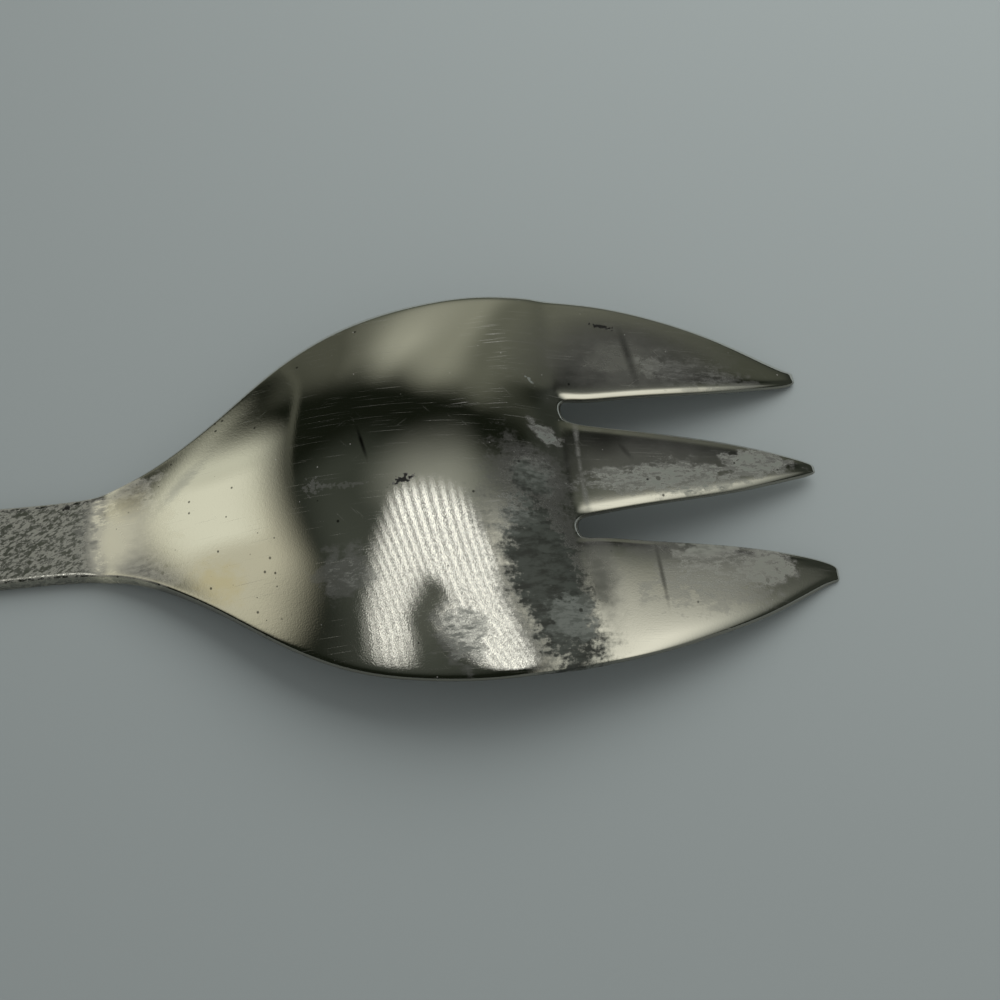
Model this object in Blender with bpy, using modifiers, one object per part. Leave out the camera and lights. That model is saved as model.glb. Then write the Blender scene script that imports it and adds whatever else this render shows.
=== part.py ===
"""A serving fork with three broad tines, stamped and pressed from one flat blank.

The fork lies face down on a table: the back of its bowl is up (+Z), its tines point along +X, and the origin is on
the table under the middle of its length. It is one piece of metal, so it is one object.
Sizes are in millimetres and become metres where the vertices are placed.
"""

from collections import namedtuple

import bmesh
import bpy

MM = 0.001

# Driving dimensions
LENGTH = 216.0
TINE_LENGTH = 33.2
MIDDLE_TINE_SHORTER = 0.4
STEM_THICKNESS = 2.4

# Cross-sections of the handle and the bowl, from the handle's end to the roots of the tines: the distance from the
# tips, half the width, the height of the back on the centre line, how far the back falls from there to its edges,
# the thickness on the centre line, how much thinner the edges are, and how deep the edge of the back is rounded over.
Section = namedtuple("Section", "from_tips half_width back crown thickness thinning roll")
BODY = (
    Section(LENGTH, 1.9, 11.0, 0.0, 1.8, 0.0, 0.3),
    Section(215.0, 5.2, 10.9, 0.1, 1.8, 0.0, 0.3),
    Section(212.4, 8.2, 10.5, 0.3, 1.9, 0.0, 0.3),
    Section(208.0, 10.0, 9.8, 0.5, 1.9, 0.0, 0.2),
    Section(201.0, 10.6, 8.6, 0.6, 2.0, 0.0, 0.2),
    Section(187.0, 9.8, 6.6, 0.5, 2.1, 0.0, 0.2),
    Section(170.0, 8.4, 4.5, 0.3, 2.2, 0.0, 0.2),
    Section(154.0, 7.3, 3.0, 0.1, STEM_THICKNESS, 0.0, 0.2),
    Section(140.0, 6.4, STEM_THICKNESS, 0.0, STEM_THICKNESS, 0.0, 0.2),
    Section(126.0, 5.8, STEM_THICKNESS, 0.0, STEM_THICKNESS, 0.0, 0.2),
    Section(112.0, 5.4, STEM_THICKNESS, 0.0, STEM_THICKNESS, 0.0, 0.2),
    Section(101.0, 5.2, STEM_THICKNESS, 0.0, STEM_THICKNESS, 0.0, 0.2),
    Section(95.0, 5.3, STEM_THICKNESS, 0.0, STEM_THICKNESS, 0.0, 0.2),
    Section(92.8, 5.5, STEM_THICKNESS, 0.0, STEM_THICKNESS, 0.0, 0.2),
    Section(91.4, 5.8, 2.5, 0.0, STEM_THICKNESS, 0.0, 0.2),
    Section(90.0, 6.1, 3.0, 0.0, STEM_THICKNESS, 0.0, 0.2),
    Section(88.0, 6.7, 3.7, 0.2, 2.3, 0.1, 0.2),
    Section(84.0, 8.3, 5.0, 0.7, 2.3, 0.2, 0.2),
    Section(77.0, 12.7, 8.4, 3.0, 2.1, 0.6, 0.1),
    Section(70.0, 18.3, 12.0, 5.1, 2.0, 0.8, 0.1),
    Section(62.0, 22.9, 14.5, 6.5, 2.0, 0.9, 0.1),
    Section(54.0, 25.0, 15.4, 6.4, 2.0, 0.9, 0.1),
    Section(46.0, 25.9, 15.0, 5.6, 2.0, 0.9, 0.1),
    Section(41.0, 25.8, 13.8, 4.2, 1.9, 0.7, 0.2),
    Section(37.0, 25.6, 12.0, 2.8, 1.9, 0.5, 0.3),
    Section(34.6, 25.4, 10.6, 1.8, 1.8, 0.2, 0.4),
    Section(TINE_LENGTH, 25.1, 9.9, 1.5, 1.7, 0.0, 0.4),
)

# Cross-sections of the three tines, from beside the slots' roots to the tips. A slot lies between the edge of the
# middle tine and the inner edge of an outer tine.
TineSection = namedtuple("TineSection", "from_tips middle inner outer back crown thickness roll")
TINES = (
    TineSection(30.6, 6.1, 9.2, 24.8, 9.2, 1.1, 1.6, 0.4),
    TineSection(25.0, 5.3, 9.9, 24.0, 8.4, 1.0, 1.5, 0.4),
    TineSection(18.0, 4.4, 10.4, 22.2, 7.0, 1.0, 1.4, 0.4),
    TineSection(11.0, 3.4, 11.0, 20.0, 5.4, 1.3, 1.3, 0.4),
    TineSection(5.0, 2.0, 11.9, 17.2, 3.9, 1.7, 1.2, 0.3),
    TineSection(1.4, 1.1, 12.6, 15.4, 2.7, 1.6, 1.1, 0.3),
    TineSection(0.0, 0.5, 13.4, 15.1, 2.2, 1.4, 1.0, 0.3),
)
SLOT_ROOT_MIDDLE = 6.6
SLOT_ROOT_INNER = 9.6

# The neck's sides run straighter to their edges than the bowl's: the share by which the fall eases there, and the
# distances from the tips between which that share grows.
NECK_EASE = 0.55
NECK_EASE_FROM = 54.0
NECK_EASE_TO = 70.0

# The outer tines leave the bowl on raised shoulders: their height, and where and how far along the fork they lie.
SHOULDER_HEIGHT = 0.4
SHOULDER_AT = 32.5
SHOULDER_REACH = 6.0

# Lines of vertices run along the blank, counted outwards from the centre line: 0 to 2 on the middle tine and 3 to 7
# on each outer tine. A line close beside each edge keeps the edge's rounding within a narrow band.
OUTER_EDGE = 7
INNER_EDGE = 3
MIDDLE_EDGE = 2
BACK_BAND = 0.5
FRONT_BAND = 0.5
BAND_SHARE = 0.45

# The finish of the plated metal
SILVER_COLOUR = (0.66, 0.65, 0.60, 1.0)
SILVER_ROUGHNESS = 0.22


def line_distances(middle, inner, outer, band):
    """Distance of each line from the centre line, with a band of this width beside each edge."""
    middle_band = min(band, BAND_SHARE * middle)
    outer_band = min(band, BAND_SHARE * (outer - inner) / 2)
    return (
        0.0,
        middle - middle_band,
        middle,
        inner,
        inner + outer_band,
        (inner + outer) / 2,
        outer - outer_band,
        outer,
    )


def eased_fall(from_tips, y, outer):
    """The share of its whole fall that the sheet has fallen at this distance from the centre line."""
    grown = (from_tips - NECK_EASE_FROM) / (NECK_EASE_TO - NECK_EASE_FROM)
    ease = NECK_EASE * min(1.0, max(0.0, grown))
    share = (y / outer) ** 2
    return share * (1 + ease * (1 - share))


def shoulder(from_tips, y, inner, outer):
    """How far the root of an outer tine stands above that fall: most beside the slot, nothing at the outer edge."""
    if y < inner:
        return 0.0
    along = max(0.0, 1 - ((from_tips - SHOULDER_AT) / SHOULDER_REACH) ** 2)
    across = 1 - ((y - inner) / (outer - inner)) ** 2
    return SHOULDER_HEIGHT * along * across


def pressed_row(section, middle, inner, outer, edges, thinning):
    """The points of one cross-section: for each line, where its back and its front are."""
    row = []
    back_lines = line_distances(middle, inner, outer, BACK_BAND + section.roll)
    front_lines = line_distances(middle, inner, outer, FRONT_BAND)
    for line in range(OUTER_EDGE + 1):
        x = LENGTH / 2 - section.from_tips
        if line <= MIDDLE_EDGE:
            x -= MIDDLE_TINE_SHORTER * max(0.0, 1 - section.from_tips / TINE_LENGTH)
        back_y, front_y = back_lines[line], front_lines[line]
        back_z = section.back - section.crown * eased_fall(section.from_tips, back_y, outer)
        back_z += shoulder(section.from_tips, back_y, inner, outer)
        front_z = section.back - section.thickness
        front_z -= (section.crown - thinning) * eased_fall(section.from_tips, front_y, outer)
        front_z += shoulder(section.from_tips, front_y, inner, outer)
        if line in edges:
            back_z -= section.roll
        row.append(((x, back_y, back_z), (x, front_y, front_z)))
    return row


def pressed_rows():
    """All cross-sections of half the fork, from the handle's end to the tips."""
    rows = []
    root = BODY[-1]
    every_line = range(OUTER_EDGE + 1)
    for section in BODY:
        share = section.half_width / root.half_width
        middle, inner = SLOT_ROOT_MIDDLE * share, SLOT_ROOT_INNER * share
        edges = {BODY[0]: every_line, root: (MIDDLE_EDGE, INNER_EDGE, OUTER_EDGE)}.get(section, (OUTER_EDGE,))
        rows.append(pressed_row(section, middle, inner, section.half_width, edges, section.thinning))
    for section in TINES:
        edges = every_line if section is TINES[-1] else (MIDDLE_EDGE, INNER_EDGE, OUTER_EDGE)
        rows.append(pressed_row(section, section.middle, section.inner, section.outer, edges, 0.0))
    return rows


def fork_cage():
    """A flat grid with both slots punched out, drawn down into a block one layer thick, then pressed to shape."""
    rows = pressed_rows()
    root_row = len(BODY) - 1
    cage = bmesh.new()
    bmesh.ops.create_grid(cage, x_segments=len(rows) - 1, y_segments=2 * OUTER_EDGE, size=1.0)
    for vertex in cage.verts:
        vertex.co.x = round((vertex.co.x + 1) / 2 * (len(rows) - 1))
        vertex.co.y = round(vertex.co.y * OUTER_EDGE)

    slots = []
    for face in cage.faces:
        middle = face.calc_center_median()
        if middle.x > root_row and MIDDLE_EDGE < abs(middle.y) < INNER_EDGE:
            slots.append(face)
    bmesh.ops.delete(cage, geom=slots, context="FACES")

    drawn = bmesh.ops.extrude_face_region(cage, geom=cage.faces[:])
    front = {item for item in drawn["geom"] if isinstance(item, bmesh.types.BMVert)}
    for vertex in cage.verts:
        row, line = round(vertex.co.x), round(vertex.co.y)
        x, y, z = rows[row][abs(line)][vertex in front]
        vertex.co = (x * MM, y * MM if line > 0 else -y * MM, z * MM)
    bmesh.ops.recalc_face_normals(cage, faces=cage.faces)

    mesh = bpy.data.meshes.new("serving_fork")
    cage.to_mesh(mesh)
    cage.free()
    return mesh


def silver_plate():
    material = bpy.data.materials.new("silver_plate")
    material.use_nodes = True
    shader = material.node_tree.nodes["Principled BSDF"]
    shader.inputs["Base Color"].default_value = SILVER_COLOUR
    shader.inputs["Metallic"].default_value = 1.0
    shader.inputs["Roughness"].default_value = SILVER_ROUGHNESS
    return material


def serving_fork():
    """The pressed cage, smoothed so that its sections flow together and its edges are rounded."""
    fork = bpy.data.objects.new("serving_fork", fork_cage())
    fork.data.materials.append(silver_plate())
    fork.data.shade_smooth()
    smooth = fork.modifiers.new("pressed_form", "SUBSURF")
    smooth.levels = 1
    smooth.render_levels = 1
    return fork


for leftover in list(bpy.data.objects):
    bpy.data.objects.remove(leftover)
collection = bpy.data.collections.new("serving_fork")
bpy.context.scene.collection.children.link(collection)
collection.objects.link(serving_fork())
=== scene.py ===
"""A worn silver-plated serving fork with three broad tines, lying face down on a pale sheet.

The fork is one stamped and pressed piece of metal. Its sizes are in millimetres, and become metres where its
points are placed; all else is in metres, +Z up, with the tines along +X.
"""

import bpy
import math
from collections import namedtuple
from mathutils import Matrix, Vector


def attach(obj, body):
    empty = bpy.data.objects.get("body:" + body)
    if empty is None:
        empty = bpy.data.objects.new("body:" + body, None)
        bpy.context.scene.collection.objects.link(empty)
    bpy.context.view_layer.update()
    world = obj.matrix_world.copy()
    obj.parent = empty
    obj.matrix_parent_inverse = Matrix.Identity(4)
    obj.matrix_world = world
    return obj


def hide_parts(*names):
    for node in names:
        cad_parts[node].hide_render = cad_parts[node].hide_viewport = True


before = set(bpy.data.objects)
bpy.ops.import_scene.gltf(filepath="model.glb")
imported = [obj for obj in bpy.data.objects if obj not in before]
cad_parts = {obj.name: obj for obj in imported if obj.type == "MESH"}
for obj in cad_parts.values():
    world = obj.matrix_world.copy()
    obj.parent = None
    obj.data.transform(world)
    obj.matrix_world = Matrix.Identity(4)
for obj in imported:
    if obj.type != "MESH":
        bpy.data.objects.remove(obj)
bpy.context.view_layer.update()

# The fork. It is one blank of nickel silver, stamped out with two slots, pressed into a domed bowl with
# arched tines, its edges rounded by polishing, and silver plated all over. Nothing is fixed to it.
MM = 0.001
LENGTH = 216.0
TINE_LENGTH = 33.2
MIDDLE_TINE_SHORTER = 0.4
STEM_THICKNESS = 2.4

# Cross-sections from the handle's end to the slots' roots: distance from the tips, half the width, height of
# the back on the centre line, fall of the back to its edges, thickness on the centre line, how much thinner
# the edges are, and how deep the edge of the back is rounded over.
Section = namedtuple("Section", "from_tips half_width back crown thickness thinning roll")
BODY = (
    Section(LENGTH, 1.9, 11.0, 0.0, 1.8, 0.0, 0.3),
    Section(215.0, 5.2, 10.9, 0.1, 1.8, 0.0, 0.3),
    Section(212.4, 8.2, 10.5, 0.3, 1.9, 0.0, 0.3),
    Section(208.0, 10.0, 9.8, 0.5, 1.9, 0.0, 0.2),
    Section(201.0, 10.6, 8.6, 0.6, 2.0, 0.0, 0.2),
    Section(187.0, 9.8, 6.6, 0.5, 2.1, 0.0, 0.2),
    Section(170.0, 8.4, 4.5, 0.3, 2.2, 0.0, 0.2),
    Section(154.0, 7.3, 3.0, 0.1, STEM_THICKNESS, 0.0, 0.2),
    Section(140.0, 6.4, STEM_THICKNESS, 0.0, STEM_THICKNESS, 0.0, 0.2),
    Section(126.0, 5.8, STEM_THICKNESS, 0.0, STEM_THICKNESS, 0.0, 0.2),
    Section(112.0, 5.4, STEM_THICKNESS, 0.0, STEM_THICKNESS, 0.0, 0.2),
    Section(101.0, 5.2, STEM_THICKNESS, 0.0, STEM_THICKNESS, 0.0, 0.2),
    Section(95.0, 5.3, STEM_THICKNESS, 0.0, STEM_THICKNESS, 0.0, 0.2),
    Section(92.8, 5.5, STEM_THICKNESS, 0.0, STEM_THICKNESS, 0.0, 0.2),
    Section(91.4, 5.8, 2.5, 0.0, STEM_THICKNESS, 0.0, 0.2),
    Section(90.0, 6.1, 3.0, 0.0, STEM_THICKNESS, 0.0, 0.2),
    Section(88.0, 6.7, 3.7, 0.2, 2.3, 0.1, 0.2),
    Section(84.0, 8.3, 5.0, 0.7, 2.3, 0.2, 0.2),
    Section(77.0, 12.7, 8.4, 3.0, 2.1, 0.6, 0.1),
    Section(70.0, 18.3, 12.0, 5.1, 2.0, 0.8, 0.1),
    Section(62.0, 22.9, 14.5, 6.5, 2.0, 0.9, 0.1),
    Section(54.0, 25.0, 15.4, 6.4, 2.0, 0.9, 0.1),
    Section(46.0, 25.9, 15.0, 5.6, 2.0, 0.9, 0.1),
    Section(41.0, 25.8, 13.8, 4.2, 1.9, 0.7, 0.2),
    Section(37.0, 25.6, 12.0, 2.8, 1.9, 0.5, 0.3),
    Section(34.6, 25.4, 10.6, 1.8, 1.8, 0.2, 0.4),
    Section(TINE_LENGTH, 25.1, 9.9, 1.5, 1.7, 0.0, 0.4),
)

# Cross-sections of the tines: the edge of the middle tine and the two edges of an outer tine, each as its
# distance from the centre line.
TineSection = namedtuple("TineSection", "from_tips middle inner outer back crown thickness roll")
TINES = (
    TineSection(30.6, 6.1, 9.2, 24.8, 9.2, 1.1, 1.6, 0.4),
    TineSection(25.0, 5.3, 9.9, 24.0, 8.4, 1.0, 1.5, 0.4),
    TineSection(18.0, 4.4, 10.4, 22.2, 7.0, 1.0, 1.4, 0.4),
    TineSection(11.0, 3.4, 11.0, 20.0, 5.4, 1.3, 1.3, 0.4),
    TineSection(5.0, 2.0, 11.9, 17.2, 3.9, 1.7, 1.2, 0.3),
    TineSection(1.4, 1.1, 12.6, 15.4, 2.7, 1.6, 1.1, 0.3),
    TineSection(0.0, 0.5, 13.4, 15.1, 2.2, 1.4, 1.0, 0.3),
)

# The sides of the slots at their roots, from the centre line.
SLOT_ROOT_MIDDLE = 6.6
SLOT_ROOT_INNER = 9.6

# The neck's sides run straighter to their edges than the bowl's: the share by which the fall eases there, and
# the distances from the tips between which that share grows.
NECK_EASE = 0.55
NECK_EASE_FROM = 54.0
NECK_EASE_TO = 70.0

# The outer tines leave the bowl on raised shoulders: their height, where they lie, and how far they reach.
SHOULDER_HEIGHT = 0.4
SHOULDER_AT = 32.5
SHOULDER_REACH = 6.0

# Lines of points along the blank, counted outwards from the centre line.
OUTER_EDGE = 7
INNER_EDGE = 3
MIDDLE_EDGE = 2

# Narrow bands beside the edges keep them crisp: their width on the back and on the front, and the most that
# one takes of a narrow tine. On the bowl the lines spread out evenly instead, by this share of the half width
# for each line, from this far behind the slots' roots on.
BACK_BAND = 0.5
FRONT_BAND = 0.5
BAND_SHARE = 0.45
EVEN_SHARE = 0.155
SPREAD_REACH = 12.8
POLISH_LEVELS = 3


def line_distances(middle, inner, outer, band, spread):
    """Each line's distance from the centre line: drawn in beside the edges, or even at a spread of 1."""
    middle_band = min(band, BAND_SHARE * middle)
    outer_band = min(band, BAND_SHARE * (outer - inner) / 2)
    beside_slots = (
        0.0,
        middle - middle_band,
        middle,
        inner,
        inner + outer_band,
        (inner + outer) / 2,
        outer - outer_band,
        outer,
    )
    evenly = [EVEN_SHARE * line * outer for line in range(OUTER_EDGE - 1)] + [outer - outer_band, outer]
    return [tight + spread * (even - tight) for tight, even in zip(beside_slots, evenly)]


def eased_fall(from_tips, y, outer):
    """The share of its whole fall that the sheet has fallen at this distance from the centre line."""
    grown = (from_tips - NECK_EASE_FROM) / (NECK_EASE_TO - NECK_EASE_FROM)
    ease = NECK_EASE * min(1.0, max(0.0, grown))
    share = (y / outer) ** 2
    return share * (1 + ease * (1 - share))


def shoulder(from_tips, y, inner, outer):
    """How far an outer tine's root stands above that fall: most beside the slot, none at the outer edge."""
    if y < inner:
        return 0.0
    along = max(0.0, 1 - ((from_tips - SHOULDER_AT) / SHOULDER_REACH) ** 2)
    across = 1 - ((y - inner) / (outer - inner)) ** 2
    return SHOULDER_HEIGHT * along * across


def pressed_row(section, middle, inner, outer, edges, thinning):
    """The points of one cross-section: for each line, where its back and its front are."""
    row = []
    spread = min(1.0, max(0.0, (section.from_tips - TINE_LENGTH) / SPREAD_REACH))
    back_lines = line_distances(middle, inner, outer, BACK_BAND + section.roll, spread)
    front_lines = line_distances(middle, inner, outer, FRONT_BAND, spread)
    for line in range(OUTER_EDGE + 1):
        x = LENGTH / 2 - section.from_tips
        if line <= MIDDLE_EDGE:
            x -= MIDDLE_TINE_SHORTER * max(0.0, 1 - section.from_tips / TINE_LENGTH)
        back_y, front_y = back_lines[line], front_lines[line]
        back_z = section.back - section.crown * eased_fall(section.from_tips, back_y, outer)
        back_z += shoulder(section.from_tips, back_y, inner, outer)
        front_z = section.back - section.thickness
        front_z -= (section.crown - thinning) * eased_fall(section.from_tips, front_y, outer)
        front_z += shoulder(section.from_tips, front_y, inner, outer)
        if line in edges:
            back_z -= section.roll
        row.append(((x, back_y, back_z), (x, front_y, front_z)))
    return row


def pressed_rows():
    """All cross-sections of half the fork, from the handle's end to the tips."""
    rows = []
    root = BODY[-1]
    every_line = range(OUTER_EDGE + 1)
    tine_edges = (MIDDLE_EDGE, INNER_EDGE, OUTER_EDGE)
    rounded_lines = {BODY[0]: every_line, root: tine_edges}
    for section in BODY:
        share = section.half_width / root.half_width
        middle, inner = SLOT_ROOT_MIDDLE * share, SLOT_ROOT_INNER * share
        edges = rounded_lines.get(section, (OUTER_EDGE,))
        rows.append(pressed_row(section, middle, inner, section.half_width, edges, section.thinning))
    for section in TINES:
        edges = every_line if section is TINES[-1] else tine_edges
        rows.append(pressed_row(section, section.middle, section.inner, section.outer, edges, 0.0))
    return rows


# The flat blank: a grid from -1 to 1, its points then numbered by row and line, with a row for each
# cross-section, and the two slots punched out of it.
rows = pressed_rows()
last_row = len(rows) - 1
root_row = len(BODY) - 1
bpy.ops.object.select_all(action="DESELECT")
bpy.ops.mesh.primitive_grid_add(x_subdivisions=last_row, y_subdivisions=2 * OUTER_EDGE, size=2.0)
fork = bpy.context.object
fork.name = "worn_serving_fork"
fork.data.name = "worn_serving_fork"
for point in fork.data.vertices:
    point.co.x = round((point.co.x + 1) / 2 * last_row)
    point.co.y = round(point.co.y * OUTER_EDGE)
bpy.ops.object.mode_set(mode="EDIT")
bpy.ops.mesh.select_mode(type="FACE")
bpy.ops.mesh.select_all(action="DESELECT")
bpy.ops.object.mode_set(mode="OBJECT")
for face in fork.data.polygons:
    face.select = face.center.x > root_row and MIDDLE_EDGE < abs(face.center.y) < INNER_EDGE
bpy.ops.object.mode_set(mode="EDIT")
bpy.ops.mesh.delete(type="FACE")

# The thickness of the metal, drawn down by 1 from the back to the front, and the press that gives both their
# shape.
bpy.ops.mesh.select_all(action="SELECT")
bpy.ops.mesh.extrude_region_move(TRANSFORM_OT_translate={"value": (0.0, 0.0, -1.0)})
bpy.ops.object.mode_set(mode="OBJECT")
for point in fork.data.vertices:
    row, line = round(point.co.x), round(point.co.y)
    is_front = point.co.z < -0.5
    x, y, z = rows[row][abs(line)][is_front]
    point.co = (x * MM, math.copysign(y, line) * MM, z * MM)
bpy.ops.object.mode_set(mode="EDIT")
bpy.ops.mesh.select_all(action="SELECT")
bpy.ops.mesh.normals_make_consistent(inside=False)
bpy.ops.object.mode_set(mode="OBJECT")
polish = fork.modifiers.new("polish", "SUBSURF")
polish.levels = POLISH_LEVELS
polish.render_levels = POLISH_LEVELS
bpy.ops.object.modifier_apply(modifier=polish.name)
bpy.ops.object.shade_smooth()


def add_node(tree, kind, values=None, **options):
    """A new node with its options chosen and its inputs set to a number or joined to a socket."""
    node = tree.nodes.new(kind)
    for option, choice in options.items():
        setattr(node, option, choice)
    for name, value in (values or {}).items():
        if isinstance(value, bpy.types.NodeSocket):
            tree.links.new(value, node.inputs[name])
        else:
            node.inputs[name].default_value = value
    return node


def calculate(tree, operation, *values, clamp=False):
    """The result of one sum on numbers or sockets."""
    node = add_node(tree, "ShaderNodeMath", dict(enumerate(values)), operation=operation, use_clamp=clamp)
    return node.outputs[0]


def calculate_vector(tree, operation, *values):
    """The result of one sum on vectors, as a vector, or as a number where the sum gives one."""
    node = add_node(tree, "ShaderNodeVectorMath", dict(enumerate(values)), operation=operation)
    gives_number = operation in ("LENGTH", "DOT_PRODUCT", "DISTANCE")
    return node.outputs["Value" if gives_number else "Vector"]


def step(tree, value, start, end):
    """Rises smoothly from 0 at start to 1 at end, or falls where start is above end."""
    node = add_node(
        tree,
        "ShaderNodeMapRange",
        {"Value": value, "From Min": start, "From Max": end},
        interpolation_type="SMOOTHSTEP",
    )
    return node.outputs["Result"]


def mix_colour(tree, share, first, second):
    """The first colour where the share is 0, and the second where it is 1."""
    # A mix node takes its colours at sockets 6 and 7, after numbers and vectors, and gives one at socket 2.
    node = add_node(tree, "ShaderNodeMix", {"Factor": share, 6: first, 7: second}, data_type="RGBA")
    return node.outputs[2]


def turned(tree, vector, angle):
    """The vector turned about the vertical."""
    values = {"Vector": vector, "Angle": angle}
    return add_node(tree, "ShaderNodeVectorRotate", values, rotation_type="Z_AXIS").outputs["Vector"]


# A grain: how it is squeezed along, across and upwards, its scale, and how fine and how rough it is.
Grain = namedtuple("Grain", "squeeze scale detail roughness")


def noise(tree, place, grain):
    """A cloudy value about a half, with this grain."""
    values = {
        "Vector": calculate_vector(tree, "MULTIPLY", place, grain.squeeze),
        "Scale": grain.scale,
        "Detail": grain.detail,
        "Roughness": grain.roughness,
    }
    return add_node(tree, "ShaderNodeTexNoise", values).outputs["Fac"]


def new_group(name, inputs, outputs):
    """An empty node group with these named sockets, and its input and output sockets."""
    group = bpy.data.node_groups.new(name, "ShaderNodeTree")
    kinds = {"value": "NodeSocketFloat", "vector": "NodeSocketVector"}
    for socket_name, kind in inputs.items():
        group.interface.new_socket(socket_name, in_out="INPUT", socket_type=kinds[kind])
    for socket_name, kind in outputs.items():
        group.interface.new_socket(socket_name, in_out="OUTPUT", socket_type=kinds[kind])
    return group, group.nodes.new("NodeGroupInput").outputs, group.nodes.new("NodeGroupOutput").inputs


def add_group(tree, group, values):
    """The outputs of a group placed in this tree, with its inputs set or joined."""
    return add_node(tree, "ShaderNodeGroup", values, node_tree=group).outputs


# Dull film: a patch with a ragged edge where a dried film hides the mirror.
LEVEL = (1.0, 1.0, 0.0)
film_patch, given, made = new_group(
    "film_patch",
    {
        "Position": "vector",
        "Centre": "vector",
        "Reach": "vector",
        "Turn": "value",
        "Ragged": "value",
        "Soft": "value",
        "Density": "value",
    },
    {"Film": "value"},
)
apart = calculate_vector(film_patch, "SUBTRACT", given["Position"], given["Centre"])
share = calculate_vector(film_patch, "DIVIDE", turned(film_patch, apart, given["Turn"]), given["Reach"])
distance = calculate_vector(film_patch, "LENGTH", calculate_vector(film_patch, "MULTIPLY", share, LEVEL))
inside = calculate(film_patch, "SUBTRACT", 1.0, given["Soft"])
edge = step(film_patch, calculate(film_patch, "ADD", distance, given["Ragged"]), 1.0, inside)
film_patch.links.new(calculate(film_patch, "MULTIPLY", edge, given["Density"]), made["Film"])

# Fine scratches: short hairlines that run one way, broken at random.
THREADS = Grain(LEVEL, 1.0, 1.0, 0.5)
THREAD_EDGE = 0.05
hairlines, given, made = new_group(
    "hairlines",
    {"Position": "vector", "Turn": "value", "Pitch": "value", "Run": "value", "Share": "value"},
    {"Mask": "value"},
)
stretch = add_node(hairlines, "ShaderNodeCombineXYZ", {"X": given["Run"], "Y": given["Pitch"], "Z": 1.0})
lengthwise = turned(hairlines, given["Position"], given["Turn"])
stretched = calculate_vector(hairlines, "DIVIDE", lengthwise, stretch.outputs["Vector"])
thread_start = calculate(hairlines, "SUBTRACT", 1.0, given["Share"])
thread_full = calculate(hairlines, "ADD", thread_start, THREAD_EDGE)
threads = step(hairlines, noise(hairlines, stretched, THREADS), thread_start, thread_full)
hairlines.links.new(threads, made["Mask"])

# Pits: pinholes in the plate, one in some of the cells, of uneven sizes.
SMALLEST_HOLE = 0.4
HOLE_FLOOR = 0.5
pinholes, given, made = new_group(
    "pinholes",
    {"Position": "vector", "Spacing": "value", "Size": "value", "Share": "value"},
    {"Mask": "value"},
)
cells = calculate(pinholes, "DIVIDE", 1.0, given["Spacing"])
spots = add_node(pinholes, "ShaderNodeTexVoronoi", {"Vector": given["Position"], "Scale": cells}).outputs
chance = add_node(pinholes, "ShaderNodeSeparateColor", {"Color": spots["Color"]}).outputs
radius = calculate(pinholes, "DIVIDE", given["Size"], given["Spacing"])
uneven = calculate(pinholes, "MULTIPLY", radius, calculate(pinholes, "ADD", chance["Green"], SMALLEST_HOLE))
hole = step(pinholes, spots["Distance"], uneven, calculate(pinholes, "MULTIPLY", uneven, HOLE_FLOOR))
taken = calculate(pinholes, "LESS_THAN", chance["Red"], given["Share"])
pinholes.links.new(calculate(pinholes, "MULTIPLY", hole, taken), made["Mask"])

# The plate: a mirror with an orange-peel grain on the neck, dulled by film on the tines, the bowl and the
# handle. Some of its colours are painted light: reflections painted on the neck, the bowl and the tines, a
# painted highlight on the crease, and painted shade on the rim's walls.
BRIGHT_SILVER = (0.74, 0.73, 0.68, 1.0)
WARM_SILVER = (0.72, 0.66, 0.48, 1.0)
COOL_SILVER = (0.50, 0.50, 0.49, 1.0)
HANDLE_FILM = (0.27, 0.275, 0.225, 1.0)
# A painted reflection: the neck's pale cream stands for the cream cards that the neck mirrors.
NECK_PAINTED_REFLECTION = (0.82, 0.79, 0.58, 1.0)
BOWL_FILM = (0.150, 0.165, 0.145, 1.0)
TINE_FILM = (0.190, 0.205, 0.175, 1.0)
LOW_TINE_FILM = (0.220, 0.230, 0.195, 1.0)
# Partly wiped smears, partly a painted dark reflection on the bowl.
SMEAR_REFLECTION_PALE = (0.052, 0.060, 0.050, 1.0)
SMEAR_REFLECTION_DARK = (0.022, 0.025, 0.020, 1.0)
# A painted reflection: the olive that the upper two tines take from the olive cards.
HAZE_OLIVE_REFLECTION = (0.095, 0.102, 0.078, 1.0)
# A painted dark reflection on the low tine, olive at its root and darker towards its tip.
REFLECTION_OLIVE = (0.055, 0.060, 0.044, 1.0)
REFLECTION_DARK = (0.036, 0.042, 0.032, 1.0)
# Painted shade: the brown that darkens the rim's steep walls.
WALL_SHADE_BROWN = (0.20, 0.19, 0.15, 1.0)
# Black for dirt and pits, and for the painted reflection lines.
DIRT_AND_REFLECTION_BLACK = (0.010, 0.010, 0.009, 1.0)

BLOTS = Grain((0.8, 1.3, 1.0), 0.55, 6.0, 0.64)
STREAKS = Grain((0.4, 1.3, 1.0), 1.5, 6.0, 0.70)
RUBBING = Grain((0.3, 1.0, 1.0), 1.1, 6.0, 0.66)
SPECKLE = Grain((1.0, 1.0, 1.0), 2.4, 2.0, 0.5)
MOTTLING = Grain((0.7, 1.5, 1.0), 1.9, 5.0, 0.68)
PEEL = Grain((1.0, 1.0, 1.0), 2.6, 2.0, 0.6)
STIPPLE = Grain((1.0, 1.0, 1.0), 5.5, 1.0, 0.5)

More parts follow.
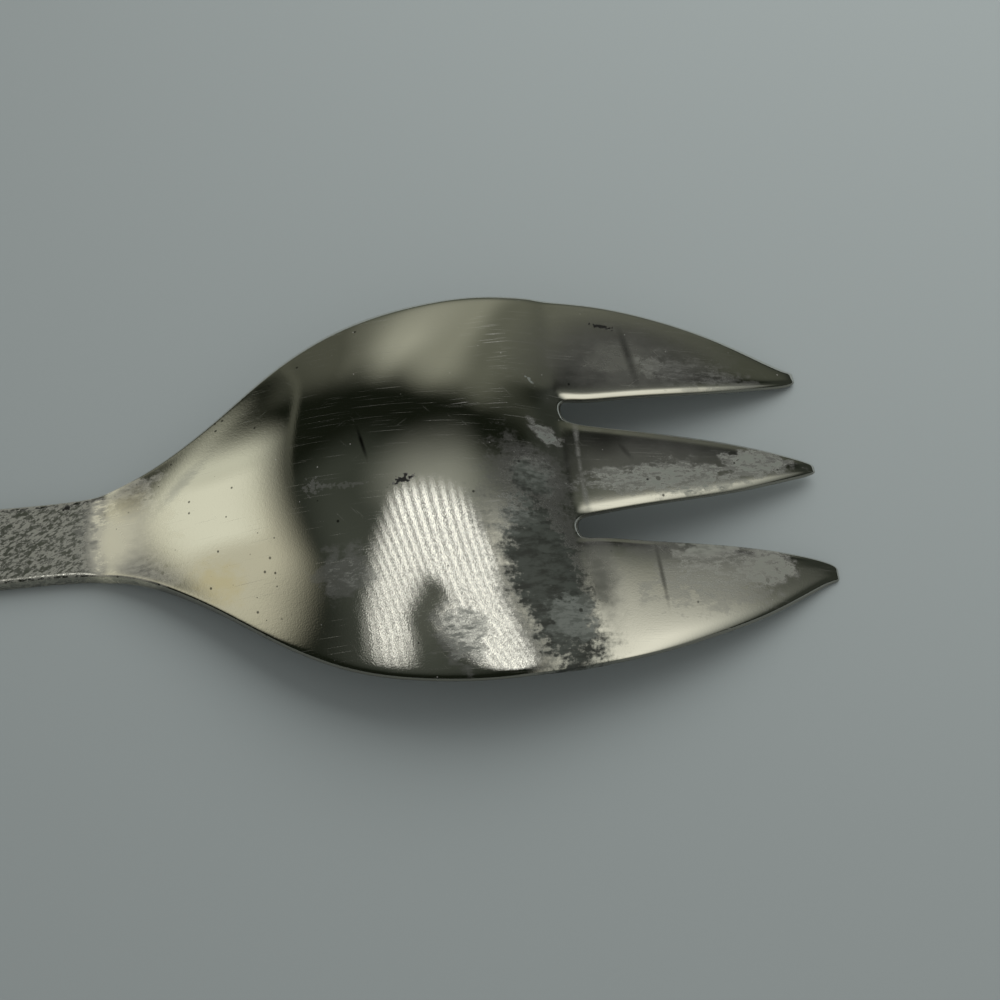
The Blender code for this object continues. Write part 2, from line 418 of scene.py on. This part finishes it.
# Layers on the plate: how soft their edges are, how far each grain moves the edges, and their patches, each
# with its centre, its reach along and across, its turn, and how much it hides.
Patch = namedtuple("Patch", "x y along across turn density")
Layer = namedtuple("Layer", "soft swings patches")
FILM = Layer(
    soft=0.42,
    swings=(2.448, 0.952),
    patches=(
        # The first four patches lie on the neck, where they take its painted reflection.
        Patch(17.0, 0.0, 3.6, 8.0, 0.0, 0.90),
        Patch(22.0, 0.0, 5.0, 6.5, 0.0, 0.50),
        Patch(21.5, -5.6, 7.0, 2.8, -0.25, 0.45),
        Patch(19.6, 4.8, 5.0, 2.2, 0.2, 0.50),
        Patch(46.5, -12.2, 4.2, 3.4, 0.0, 0.75),
        Patch(72.2, 3.8, 2.6, 1.5, -0.6, 1.30),
        Patch(70.0, -1.5, 4.2, 4.0, 0.0, 0.38),
        Patch(65.6, -6.8, 4.8, 3.6, 0.0, 0.52),
        Patch(59.3, -20.8, 3.8, 4.0, 0.1, 0.90),
        Patch(72.6, -19.5, 4.2, 3.6, 0.2, 0.70),
        Patch(93.0, 13.4, 10.0, 3.0, -0.22, 0.55),
        Patch(87.0, -1.7, 13.0, 2.7, 0.04, 1.15),
        Patch(99.0, 0.3, 5.6, 2.3, 0.0, 1.30),
        Patch(91.5, -14.4, 10.5, 5.2, 0.16, 0.85),
        Patch(98.0, -14.0, 4.6, 3.0, 0.25, 1.40),
    ),
)
LOOSE_FLECKS = Layer(
    soft=0.5,
    swings=(4.5,),
    patches=(
        Patch(43.6, -1.3, 1.12, 0.96, 0.0, 0.4),
        Patch(46.8, -1.8, 3.36, 0.32, -0.08, 0.28),
        Patch(71.3, 11.5, 0.64, 0.20, -0.9, 1.5),
    ),
)
# Dark smears on the bowl beside the slots' roots, partly wiped marks and partly a painted dark reflection.
SMEARS_AND_DARK_REFLECTIONS = Layer(
    soft=0.75,
    swings=(0.8, 0.5, 0.4),
    patches=(
        Patch(70.2, -15.0, 7.6, 19.8, 0.22, 1.25),
        Patch(69.5, -2.5, 6.5, 5.5, 0.0, 1.00),
    ),
)
# A painted dark reflection on the low tine.
LOW_TINE_PAINTED_REFLECTION = Layer(
    soft=0.95,
    swings=(0.8,),
    patches=(
        Patch(76.5, -14.5, 3.6, 9.5, 0.05, 0.85),
        Patch(91.0, -10.8, 15.0, 3.6, 0.07, 1.00),
    ),
)
# Haze patches: on the neck a painted cream reflection, on the upper two tines a dulling with a painted olive
# reflection.
NECK_PAINTED_SHEEN = Layer(soft=0.95, swings=(0.5,), patches=(Patch(18.0, -1.0, 8.0, 9.0, 0.0, 0.80),))
TINE_HAZE_AND_REFLECTION = Layer(
    soft=0.95,
    swings=(0.5,),
    patches=(
        Patch(84.0, 15.0, 18.0, 10.5, -0.1, 0.75),
        Patch(86.0, 0.5, 18.0, 6.5, 0.0, 0.60),
    ),
)
# Dark streaks: partly stains, partly painted reflections of a dark line that crosses the bowl and each tine.
STAINS_AND_REFLECTION_LINES = Layer(
    soft=0.95,
    swings=(0.6,),
    patches=(
        Patch(49.8, 3.4, 0.35, 3.2, 0.19, 0.90),
        Patch(84.8, 15.8, 0.9, 6.0, 0.12, 0.60),
        Patch(84.2, -14.8, 0.45, 5.5, 0.05, 0.60),
        Patch(82.0, 2.2, 0.6, 2.4, 0.6, 0.45),
        Patch(79.5, 3.0, 3.6, 3.2, 0.0, 0.45),
    ),
)
DIRT = Layer(
    soft=0.3,
    swings=(3.0,),
    patches=(
        Patch(54.3, -2.1, 1.2, 0.5, 0.25, 1.0),
        Patch(82.0, 20.4, 1.5, 0.35, -0.2, 1.0),
        Patch(12.3, 4.2, 0.6, 0.3, 0.3, 1.0),
    ),
)
SCRAPES = Layer(
    soft=0.9,
    swings=(1.2,),
    patches=(
        Patch(66.5, 17.5, 3.5, 6.5, 0.2, 1.0),
        Patch(64.0, 8.5, 6.0, 2.5, 0.0, 0.8),
        Patch(66.5, -7.5, 5.0, 5.0, 0.0, 0.8),
    ),
)
WARM_TINTS = Layer(
    soft=0.9,
    swings=(1.6,),
    patches=(
        Patch(19.5, 3.4, 4.0, 3.0, 0.3, 0.8),
        Patch(31.0, -9.5, 5.0, 3.0, -0.5, 0.7),
    ),
)
COOL_TINTS = Layer(soft=0.9, swings=(1.6,), patches=(Patch(27.0, 4.2, 6.5, 1.3, 0.72, 0.8),))

silver = bpy.data.materials.new("worn_silver_plate")
silver.use_nodes = True
tree = silver.node_tree
shader = tree.nodes["Principled BSDF"]
coordinates = add_node(tree, "ShaderNodeTexCoord").outputs
position = calculate_vector(tree, "MULTIPLY", coordinates["Object"], (1 / MM, 1 / MM, 1 / MM))
axes = add_node(tree, "ShaderNodeSeparateXYZ", {"Vector": position}).outputs
along_fork, across_fork = axes["X"], axes["Y"]
tilt = add_node(tree, "ShaderNodeSeparateXYZ", {"Vector": coordinates["Normal"]}).outputs
sideways, facing = tilt["Y"], tilt["Z"]


def scaled(value, factor, shift=0.0):
    return calculate(tree, "MULTIPLY_ADD", value, factor, shift)


def between(share, low, high):
    """The low value where the share is 0, and the high one where it is 1."""
    return scaled(share, high - low, low)


def swung(grain, width):
    """A grain's value, moved to swing about 0 by this width."""
    return scaled(grain, width, -width / 2)


def chained(operation, values):
    result = values[0]
    for value in values[1:]:
        result = calculate(tree, operation, result, value)
    return result


def largest(*values):
    return chained("MAXIMUM", values)


def product(*values):
    return chained("MULTIPLY", values)


def total(*values):
    return chained("ADD", values)


def patches_over(layer, *grains):
    """All patches of this layer together, their edges broken up by the grains."""
    ragged = total(*(swung(grain, width) for grain, width in zip(grains, layer.swings)))
    films = []
    for patch in layer.patches:
        values = {
            "Position": position,
            "Centre": (patch.x, patch.y, 0.0),
            "Reach": (patch.along, patch.across, 1.0),
            "Turn": -patch.turn,
            "Ragged": ragged,
            "Soft": layer.soft,
            "Density": patch.density,
        }
        films.append(add_group(tree, film_patch, values)["Film"])
    return largest(*films)


def scratches(turn, pitch, run, share):
    """Hairlines at this turn: how far apart and how long they are, and how many."""
    values = {"Position": position, "Turn": turn, "Pitch": pitch, "Run": run, "Share": share}
    return add_group(tree, hairlines, values)["Mask"]


def holes(spacing, size, share):
    """Pinholes of this size: how far apart their cells are, and the share of cells that have one."""
    values = {"Position": position, "Spacing": spacing, "Size": size, "Share": share}
    return add_group(tree, pinholes, values)["Mask"]


# Film: islands with ragged edges, thinner between their flecks and pierced by holes, and some loose flecks.
FLECK_BLOTS = 0.35
FLECK_STREAKS = 0.65
FLECK_TONES = (0.42, 0.60)
FILM_THIN = 0.46
FILM_THICK = 0.98
FILM_IN_HOLES = 0.3
blots = noise(tree, position, BLOTS)
streaks = noise(tree, position, STREAKS)
rubbed = noise(tree, position, RUBBING)
speckle = noise(tree, position, SPECKLE)
flecks = step(tree, total(scaled(blots, FLECK_BLOTS), scaled(streaks, FLECK_STREAKS)), *FLECK_TONES)
film_and_painted_light = product(patches_over(FILM, blots, streaks), between(flecks, FILM_THIN, FILM_THICK))
film_and_painted_light = product(film_and_painted_light, between(holes(spacing=1.5, size=0.36, share=0.25), 1.0, FILM_IN_HOLES))
film_and_painted_light = calculate(tree, "MAXIMUM", film_and_painted_light, patches_over(LOOSE_FLECKS, speckle), clamp=True)

# The crease across the root of the middle tine, with a painted highlight: a pale line of film where the bend
# would catch the light.
CREASE_AT = 76.1
CREASE_BOW = 0.007
CREASE_WIDTH = 0.65
CREASE_REACH = 7.5
CREASE_FADE = 3.0
CREASE_THIN = 0.35
CREASE_THICK = 0.60
from_middle = calculate(tree, "ABSOLUTE", across_fork)
bowed = scaled(product(from_middle, from_middle), CREASE_BOW, CREASE_AT)
from_crease = calculate(tree, "ABSOLUTE", calculate(tree, "SUBTRACT", along_fork, bowed))
painted_crease_highlight = product(
    step(tree, from_crease, CREASE_WIDTH, 0.0),
    step(tree, from_middle, CREASE_REACH, CREASE_REACH - CREASE_FADE),
    between(flecks, CREASE_THIN, CREASE_THICK),
)
film_and_painted_light = largest(film_and_painted_light, painted_crease_highlight)

# The handle's mottling: slanting flecks of pale film over the dark mirror, up to where the neck begins.
HANDLE_END = 16.0
HANDLE_END_FADE = 2.0
HANDLE_END_SWING = 6.0
MOTTLING_SLANT = math.radians(-25.0)
MOTTLING_SWING = 0.3
MOTTLING_TONES = (0.42, 0.56)
MOTTLING_MOST = 0.85
mottling = noise(tree, turned(tree, position, MOTTLING_SLANT), MOTTLING)
mottled = step(tree, total(mottling, swung(blots, MOTTLING_SWING)), *MOTTLING_TONES)
ragged_end = total(along_fork, swung(blots, HANDLE_END_SWING))
on_handle = step(tree, ragged_end, HANDLE_END, HANDLE_END - HANDLE_END_FADE)
film_and_painted_light = largest(film_and_painted_light, product(mottled, scaled(on_handle, MOTTLING_MOST)))

# The film's colour along the fork, each with the stretch over which it sets in. On the neck it is a painted
# reflection, pale cream where the neck mirrors the cream cards.
BOWL_START = (30.0, 36.0)
TINES_START = (73.0, 78.0)
LOW_TINE_START = (-6.0, -10.0)
on_bowl = step(tree, along_fork, *BOWL_START)
on_tines = step(tree, along_fork, *TINES_START)
on_low_tine = step(tree, across_fork, *LOW_TINE_START)
film_and_painted_light_colour = mix_colour(tree, on_handle, NECK_PAINTED_REFLECTION, HANDLE_FILM)
film_and_painted_light_colour = mix_colour(tree, on_bowl, film_and_painted_light_colour, BOWL_FILM)
tine_film = mix_colour(tree, on_low_tine, TINE_FILM, LOW_TINE_FILM)
film_and_painted_light_colour = mix_colour(tree, on_tines, film_and_painted_light_colour, tine_film)

# Dark smears over the bowl beside the slots' roots, partly wiped marks and partly a painted dark reflection,
# and a painted dark reflection on the low tine, where no film is.
FILM_GONE = (0.6, 0.1)
SMEAR_REFLECTION_TONES = (0.37, 0.60)
REFLECTION_DARKENS = (78.0, 98.0)
REFLECTION_MOST = 0.96
no_film = step(tree, film_and_painted_light, *FILM_GONE)
smear_and_dark_reflection = calculate(tree, "MINIMUM", patches_over(SMEARS_AND_DARK_REFLECTIONS, blots, rubbed, speckle), 1.0)
smear_reflection_colour = mix_colour(tree, step(tree, rubbed, *SMEAR_REFLECTION_TONES), SMEAR_REFLECTION_DARK, SMEAR_REFLECTION_PALE)
film_and_painted_light_colour = mix_colour(tree, product(smear_and_dark_reflection, no_film), film_and_painted_light_colour, smear_reflection_colour)
low_tine_reflection = calculate(tree, "MINIMUM", patches_over(LOW_TINE_PAINTED_REFLECTION, blots), REFLECTION_MOST)
low_tine_reflection_colour = mix_colour(tree, step(tree, along_fork, *REFLECTION_DARKENS), REFLECTION_OLIVE, REFLECTION_DARK)
film_and_painted_light_colour = mix_colour(tree, product(low_tine_reflection, no_film), film_and_painted_light_colour, low_tine_reflection_colour)
film_and_painted_light = largest(film_and_painted_light, smear_and_dark_reflection, low_tine_reflection)

# Haze: a thin even dulling of the neck's start and of the upper two tines, worn off the edges that turn down
# to the slots. Its colour is painted reflection: cream on the neck, olive on the tines.
WORN_EDGE = (-0.28, -0.10)
HAZE_START = (0.0, 0.2)
tine_haze_and_reflection = product(patches_over(TINE_HAZE_AND_REFLECTION, blots), step(tree, sideways, *WORN_EDGE))
neck_painted_sheen = product(patches_over(NECK_PAINTED_SHEEN, blots), between(on_handle, 1.0, 0.0))
haze_and_sheen = largest(tine_haze_and_reflection, neck_painted_sheen)
haze_reflection_colour = mix_colour(tree, on_bowl, NECK_PAINTED_REFLECTION, HAZE_OLIVE_REFLECTION)
sheen_share = product(step(tree, haze_and_sheen, *HAZE_START), step(tree, film_and_painted_light, *FILM_GONE))
film_and_painted_light_colour = mix_colour(tree, sheen_share, film_and_painted_light_colour, haze_reflection_colour)
film_and_painted_light = largest(film_and_painted_light, haze_and_sheen)

# Wear: scratches, pits that are closer on the neck, and dirt; with them, dark streaks that are partly stains
# and partly painted reflections, and painted shade that browns the rim's steep walls.
NECK_START = (15.0, 19.0)
NECK_END = (44.0, 36.0)
RIM_TILT = (0.80, 0.50)
RIM_SHADE = 0.85
PIT_DARKNESS = 0.8
lines = largest(
    scratches(turn=0.05, pitch=0.11, run=8.0, share=0.33),
    scratches(turn=0.9, pitch=0.10, run=4.0, share=0.27),
    scratches(turn=-0.6, pitch=0.12, run=5.0, share=0.25),
)
on_neck = product(step(tree, along_fork, *NECK_START), step(tree, along_fork, *NECK_END))
neck_pits = product(holes(spacing=1.4, size=0.17, share=0.60), on_neck)
pits = largest(holes(spacing=2.0, size=0.17, share=0.25), neck_pits)
rim = step(tree, calculate(tree, "ABSOLUTE", facing), *RIM_TILT)
dirt = patches_over(DIRT, speckle)
bare = mix_colour(tree, patches_over(WARM_TINTS, blots), BRIGHT_SILVER, WARM_SILVER)
bare = mix_colour(tree, patches_over(COOL_TINTS, streaks), bare, COOL_SILVER)
# Painted shade on the rim's steep walls.
bare = mix_colour(tree, scaled(rim, RIM_SHADE), bare, WALL_SHADE_BROWN)
# The film carries the painted reflections and the painted crease highlight as well as the real film.
coated = mix_colour(tree, film_and_painted_light, bare, film_and_painted_light_colour)
# Dark marks: dirt, pits, stains and painted reflection lines.
dark = largest(dirt, patches_over(STAINS_AND_REFLECTION_LINES, blots), scaled(pits, PIT_DARKNESS))
tree.links.new(mix_colour(tree, dark, coated, DIRT_AND_REFLECTION_BLACK), shader.inputs["Base Color"])

# How much of the light the metal still mirrors under the film, less what scratches and specks scatter.
SCRATCH_SCATTER = 0.07
SPECK_SCATTER = 0.30
SCRAPE_SCATTER = 0.35
SILVER_LEVEL = BRIGHT_SILVER[1]
dull = largest(film_and_painted_light, dirt)
film_level = add_node(tree, "ShaderNodeSeparateColor", {"Color": film_and_painted_light_colour}).outputs["Green"]
mirrored = between(dull, SILVER_LEVEL, 0.0)
metal_share = calculate(tree, "DIVIDE", mirrored, total(mirrored, product(dull, film_level)))
scraped = product(
    scratches(turn=-0.12, pitch=0.13, run=6.0, share=0.36),
    scaled(patches_over(SCRAPES, blots), SCRAPE_SCATTER),
)
specks = holes(spacing=1.3, size=0.10, share=0.35)
scattered = largest(scaled(lines, SCRATCH_SCATTER), scaled(specks, SPECK_SCATTER), scraped)
tree.links.new(calculate(tree, "SUBTRACT", metal_share, scattered), shader.inputs["Metallic"])

# Roughness: a mirror, or dull where the film is dense, a little rougher on scratches and on the rim.
MIRROR_ROUGHNESS = 0.05
FILM_ROUGHNESS = 0.48
DENSE_FILM = (0.45, 1.0)
SCRATCH_DULLING = 0.16
RIM_DULLING = 0.14
mirror_or_film = between(step(tree, dull, *DENSE_FILM), MIRROR_ROUGHNESS, FILM_ROUGHNESS)
roughness = total(mirror_or_film, scaled(lines, SCRATCH_DULLING), scaled(rim, RIM_DULLING))
tree.links.new(roughness, shader.inputs["Roughness"])

# Relief: orange peel on the neck, and a fine stipple that is deeper towards the low side.
PEEL_DEPTH = 0.0045
STIPPLE_DEPTH = 0.0020
LOW_STIPPLE_DEPTH = 0.0036
LOW_SIDE = (0.0, -18.0)
peel = product(noise(tree, position, PEEL), scaled(on_neck, PEEL_DEPTH))
stipple_depth = between(step(tree, across_fork, *LOW_SIDE), STIPPLE_DEPTH, LOW_STIPPLE_DEPTH)
stipple = product(noise(tree, position, STIPPLE), stipple_depth)
bump = add_node(tree, "ShaderNodeBump", {"Height": total(peel, stipple), "Distance": MM, "Strength": 1.0})
tree.links.new(bump.outputs["Normal"], shader.inputs["Normal"])

fork.data.materials.clear()
fork.data.materials.append(silver)
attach(fork, "root")
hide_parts("serving_fork")

# The sheet that the fork lies on: matt pale grey board, cut wider than any view of it. It lies flat just
# under the fork, and nothing is fixed to it.
SHEET_GREY = (0.345, 0.385, 0.380, 1.0)
SHEET_ROUGHNESS = 0.8
SHEET_SHINE = 0.2
SHEET_SIZE = 40.0
SHEET_GAP = 0.00003
bpy.ops.object.select_all(action="DESELECT")
bpy.ops.mesh.primitive_plane_add(size=SHEET_SIZE, location=(0.0, 0.0, -SHEET_GAP))
sheet = bpy.context.object
sheet.name = "pale_sheet"
board = bpy.data.materials.new("pale_board")
board.use_nodes = True
board_shader = board.node_tree.nodes["Principled BSDF"]
board_shader.inputs["Base Color"].default_value = SHEET_GREY
board_shader.inputs["Roughness"].default_value = SHEET_ROUGHNESS
board_shader.inputs["Specular IOR Level"].default_value = SHEET_SHINE
sheet.data.materials.append(board)

# The studio: a ribbed lamp in the shape of an arch overhead, cards round it, and dark between them. They are
# drawn on a chart of the sky, +X to the east and +Y to the north, with the zenith at its centre and the
# horizon at radius 1: soft strips from a start to an end, with one colour or with one that runs to another.
PALE_BACKDROP = (0.36, 0.40, 0.39, 1.0)
STUDIO_DARK = (0.008, 0.010, 0.006, 1.0)
SOFT_LIGHT = (0.38, 0.38, 0.38, 1.0)
LAMP_WHITE = (1.0, 1.0, 0.94)
LAMP_DIMMER = (0.90, 0.90, 0.84)
RIB_PITCH = 0.030
RIB_LOW = 0.08
RIB_HIGH = 1.78
Strip = namedtuple("Strip", "start end radius soft colour end_colour", defaults=(None,))

# Dim cards low in the north and the east.
DIM_CARDS = (
    Strip((-0.70, 1.22), (0.34, 1.22), 0.36, 0.08, (0.078, 0.086, 0.066)),
    Strip((0.45, 0.72), (0.66, 0.50), 0.13, 0.06, (0.048, 0.053, 0.042)),
    Strip((0.74, 0.50), (0.76, -0.30), 0.16, 0.05, (0.030, 0.034, 0.027)),
    Strip((0.14, 0.80), (0.46, 0.68), 0.13, 0.06, (0.094, 0.100, 0.078)),
)

# Olive cards in a row across the north, brightest at its middle.
OLIVE_CARDS = (
    Strip((-0.52, 0.935), (-0.28, 0.87), 0.10, 0.055, (0.078, 0.081, 0.061), (0.085, 0.088, 0.067)),
    Strip((-0.28, 0.87), (-0.11, 0.81), 0.09, 0.095, (0.085, 0.088, 0.067), (0.27, 0.275, 0.22)),
    Strip((-0.05, 0.78), (0.10, 0.70), 0.09, 0.10, (0.40, 0.405, 0.325), (0.32, 0.325, 0.26)),
    Strip((0.11, 0.68), (0.30, 0.60), 0.11, 0.075, (0.275, 0.28, 0.22), (0.130, 0.135, 0.104)),
    Strip((0.30, 0.60), (0.54, 0.535), 0.11, 0.075, (0.130, 0.135, 0.104), (0.070, 0.075, 0.057)),
)

# Grey cards beside the lamp.
GREY_CARDS = (
    Strip((-0.20, 0.22), (-0.22, -0.22), 0.20, 0.12, (0.046, 0.052, 0.041), (0.066, 0.073, 0.060)),
    Strip((0.20, 0.20), (0.46, 0.18), 0.10, 0.08, (0.105, 0.112, 0.092)),
    Strip((0.06, 0.19), (0.09, 0.19), 0.12, 0.16, (0.34, 0.35, 0.30)),
)

# Cream cards in the west, with a thin dark seam beside them.
CREAM_CARDS = (
    Strip((-0.64, 0.60), (-0.645, -0.06), 0.145, 0.095, (0.66, 0.665, 0.535), (0.58, 0.56, 0.43)),
    Strip((-0.63, 0.46), (-0.645, 0.08), 0.06, 0.065, (0.82, 0.82, 0.666)),
    Strip((-0.425, 0.86), (-0.43, 0.28), 0.010, 0.010, (0.09, 0.093, 0.070), (0.065, 0.068, 0.052)),
)

# Pale cards in the south-east.
PALE_CARDS = (
    Strip((0.46, -0.06), (0.50, -1.10), 0.16, 0.10, (0.30, 0.31, 0.27)),
    Strip((0.35, 0.00), (0.37, -1.10), 0.12, 0.12, (0.92, 0.91, 0.79)),
)

# The lamp's arch, and the gap between its legs.
LAMP = (
    Strip((0.03, 0.075), (0.07, 0.07), 0.115, 0.055, LAMP_WHITE),
    Strip((0.04, 0.02), (-0.03, -0.17), 0.10, 0.03, LAMP_WHITE),
    Strip((-0.01, 0.10), (-0.27, -0.262), 0.070, 0.04, LAMP_WHITE, LAMP_DIMMER),
    Strip((0.12, 0.01), (0.055, -0.205), 0.104, 0.035, LAMP_WHITE),
)
LAMP_GAP = Strip((-0.045, -0.14), (-0.15, -0.25), 0.042, 0.03, (0.09, 0.096, 0.080))


def scale_vector(tree, vector, factor):
    node = add_node(tree, "ShaderNodeVectorMath", {0: vector, "Scale": factor}, operation="SCALE")
    return node.outputs["Vector"]


sky_strip, given, made = new_group(
    "sky_strip",
    {"Chart": "vector", "Start": "vector", "End": "vector", "Radius": "value", "Soft": "value"},
    {"Mask": "value", "Along": "value"},
)
span = calculate_vector(sky_strip, "SUBTRACT", given["End"], given["Start"])
reach = calculate_vector(sky_strip, "SUBTRACT", given["Chart"], given["Start"])
along = calculate(
    sky_strip,
    "DIVIDE",
    calculate_vector(sky_strip, "DOT_PRODUCT", reach, span),
    calculate_vector(sky_strip, "DOT_PRODUCT", span, span),
    clamp=True,
)
off_line = calculate_vector(sky_strip, "DISTANCE", reach, scale_vector(sky_strip, span, along))
outside = calculate(sky_strip, "ADD", given["Radius"], given["Soft"])
inside = calculate(sky_strip, "SUBTRACT", given["Radius"], given["Soft"])
sky_strip.links.new(step(sky_strip, off_line, outside, inside), made["Mask"])
sky_strip.links.new(along, made["Along"])

world = bpy.data.worlds.new("studio")
world.use_nodes = True
bpy.context.scene.world = world
sky = world.node_tree
direction = calculate_vector(sky, "NORMALIZE", add_node(sky, "ShaderNodeTexCoord").outputs["Generated"])
height = add_node(sky, "ShaderNodeSeparateXYZ", {"Vector": direction}).outputs["Z"]
from_zenith = calculate(sky, "DIVIDE", calculate(sky, "ARCCOSINE", height), math.pi / 2)
bearing = calculate_vector(sky, "NORMALIZE", calculate_vector(sky, "MULTIPLY", direction, LEVEL))
chart = scale_vector(sky, bearing, from_zenith)
eastward = add_node(sky, "ShaderNodeSeparateXYZ", {"Vector": chart}).outputs["X"]
wave = calculate(sky, "COSINE", calculate(sky, "MULTIPLY", eastward, 2 * math.pi / RIB_PITCH))
ribs = calculate(sky, "MULTIPLY_ADD", wave, (RIB_HIGH - RIB_LOW) / 2, (RIB_HIGH + RIB_LOW) / 2)


def strip_over(light, strip, brightness=None):
    """The sky with one more strip in front of it, as bright as it is coloured unless this is given."""
    values = {
        "Chart": chart,
        "Start": (*strip.start, 0.0),
        "End": (*strip.end, 0.0),
        "Radius": strip.radius,
        "Soft": strip.soft,
    }
    drawn = add_group(sky, sky_strip, values)
    end_colour = strip.end_colour or strip.colour
    glow = mix_colour(sky, drawn["Along"], (*strip.colour, 1.0), (*end_colour, 1.0))
    if brightness is not None:
        glow = scale_vector(sky, glow, brightness)
    return mix_colour(sky, drawn["Mask"], light, glow)


light = STUDIO_DARK
for card in DIM_CARDS + OLIVE_CARDS + GREY_CARDS + CREAM_CARDS + PALE_CARDS:
    light = strip_over(light, card)
for tube in LAMP:
    light = strip_over(light, tube, ribs)
light = strip_over(light, LAMP_GAP)

# The metal mirrors the lamp and the cards, the camera sees a pale backdrop, and all else gets an even light.
seen_by = add_node(sky, "ShaderNodeLightPath").outputs
soft_light = sky.nodes["Background"]
soft_light.inputs["Color"].default_value = SOFT_LIGHT
studio = add_node(sky, "ShaderNodeBackground", {"Color": light})
backdrop = add_node(sky, "ShaderNodeBackground", {"Color": PALE_BACKDROP})
soft_or_studio = add_node(
    sky,
    "ShaderNodeMixShader",
    {0: seen_by["Is Glossy Ray"], 1: soft_light.outputs["Background"], 2: studio.outputs["Background"]},
)
shown = add_node(
    sky,
    "ShaderNodeMixShader",
    {0: seen_by["Is Camera Ray"], 1: soft_or_studio.outputs["Shader"], 2: backdrop.outputs["Background"]},
)
sky.links.new(shown.outputs["Shader"], sky.nodes["World Output"].inputs["Surface"])

# The key light: a square soft box above and to the north-east of the bowl, which leaves the near side of the
# sheet a little darker.
KEY_PLACE = Vector((0.17, 0.15, 0.22))
KEY_AIM = Vector((0.09, 0.02, 0.0))
KEY_SIZE = 0.28
KEY_POWER = 0.52
key_data = bpy.data.lights.new("key_light", "AREA")
key_data.shape = "SQUARE"
key_data.size = KEY_SIZE
key_data.energy = KEY_POWER
key = bpy.data.objects.new("key_light", key_data)
key.location = KEY_PLACE
key.rotation_euler = (KEY_AIM - KEY_PLACE).to_track_quat("-Z", "Y").to_euler()
key.visible_glossy = False
key.visible_camera = False
bpy.context.scene.collection.objects.link(key)

# The camera: above and a little south of the bowl, turned a little against the fork's length.
AIM = Vector((0.066551, 0.000688, 0.0))
DISTANCE = 0.180451
TILT = math.radians(24.423)
TURN = math.radians(-10.472)
ROLL = math.radians(4.065)
LENS = 50.4
SENSOR = 36.0
NEAREST = 0.01
turning = Matrix.Rotation(TURN, 4, "Z") @ Matrix.Rotation(TILT, 4, "X") @ Matrix.Rotation(ROLL, 4, "Z")
camera_data = bpy.data.cameras.new("camera")
camera_data.lens = LENS
camera_data.sensor_width = SENSOR
camera_data.clip_start = NEAREST
camera = bpy.data.objects.new("camera", camera_data)
bpy.context.scene.collection.objects.link(camera)
camera.matrix_world = Matrix.Translation(AIM) @ turning @ Matrix.Translation((0.0, 0.0, DISTANCE))
bpy.context.scene.camera = camera
bpy.context.scene.view_settings.view_transform = "Standard"
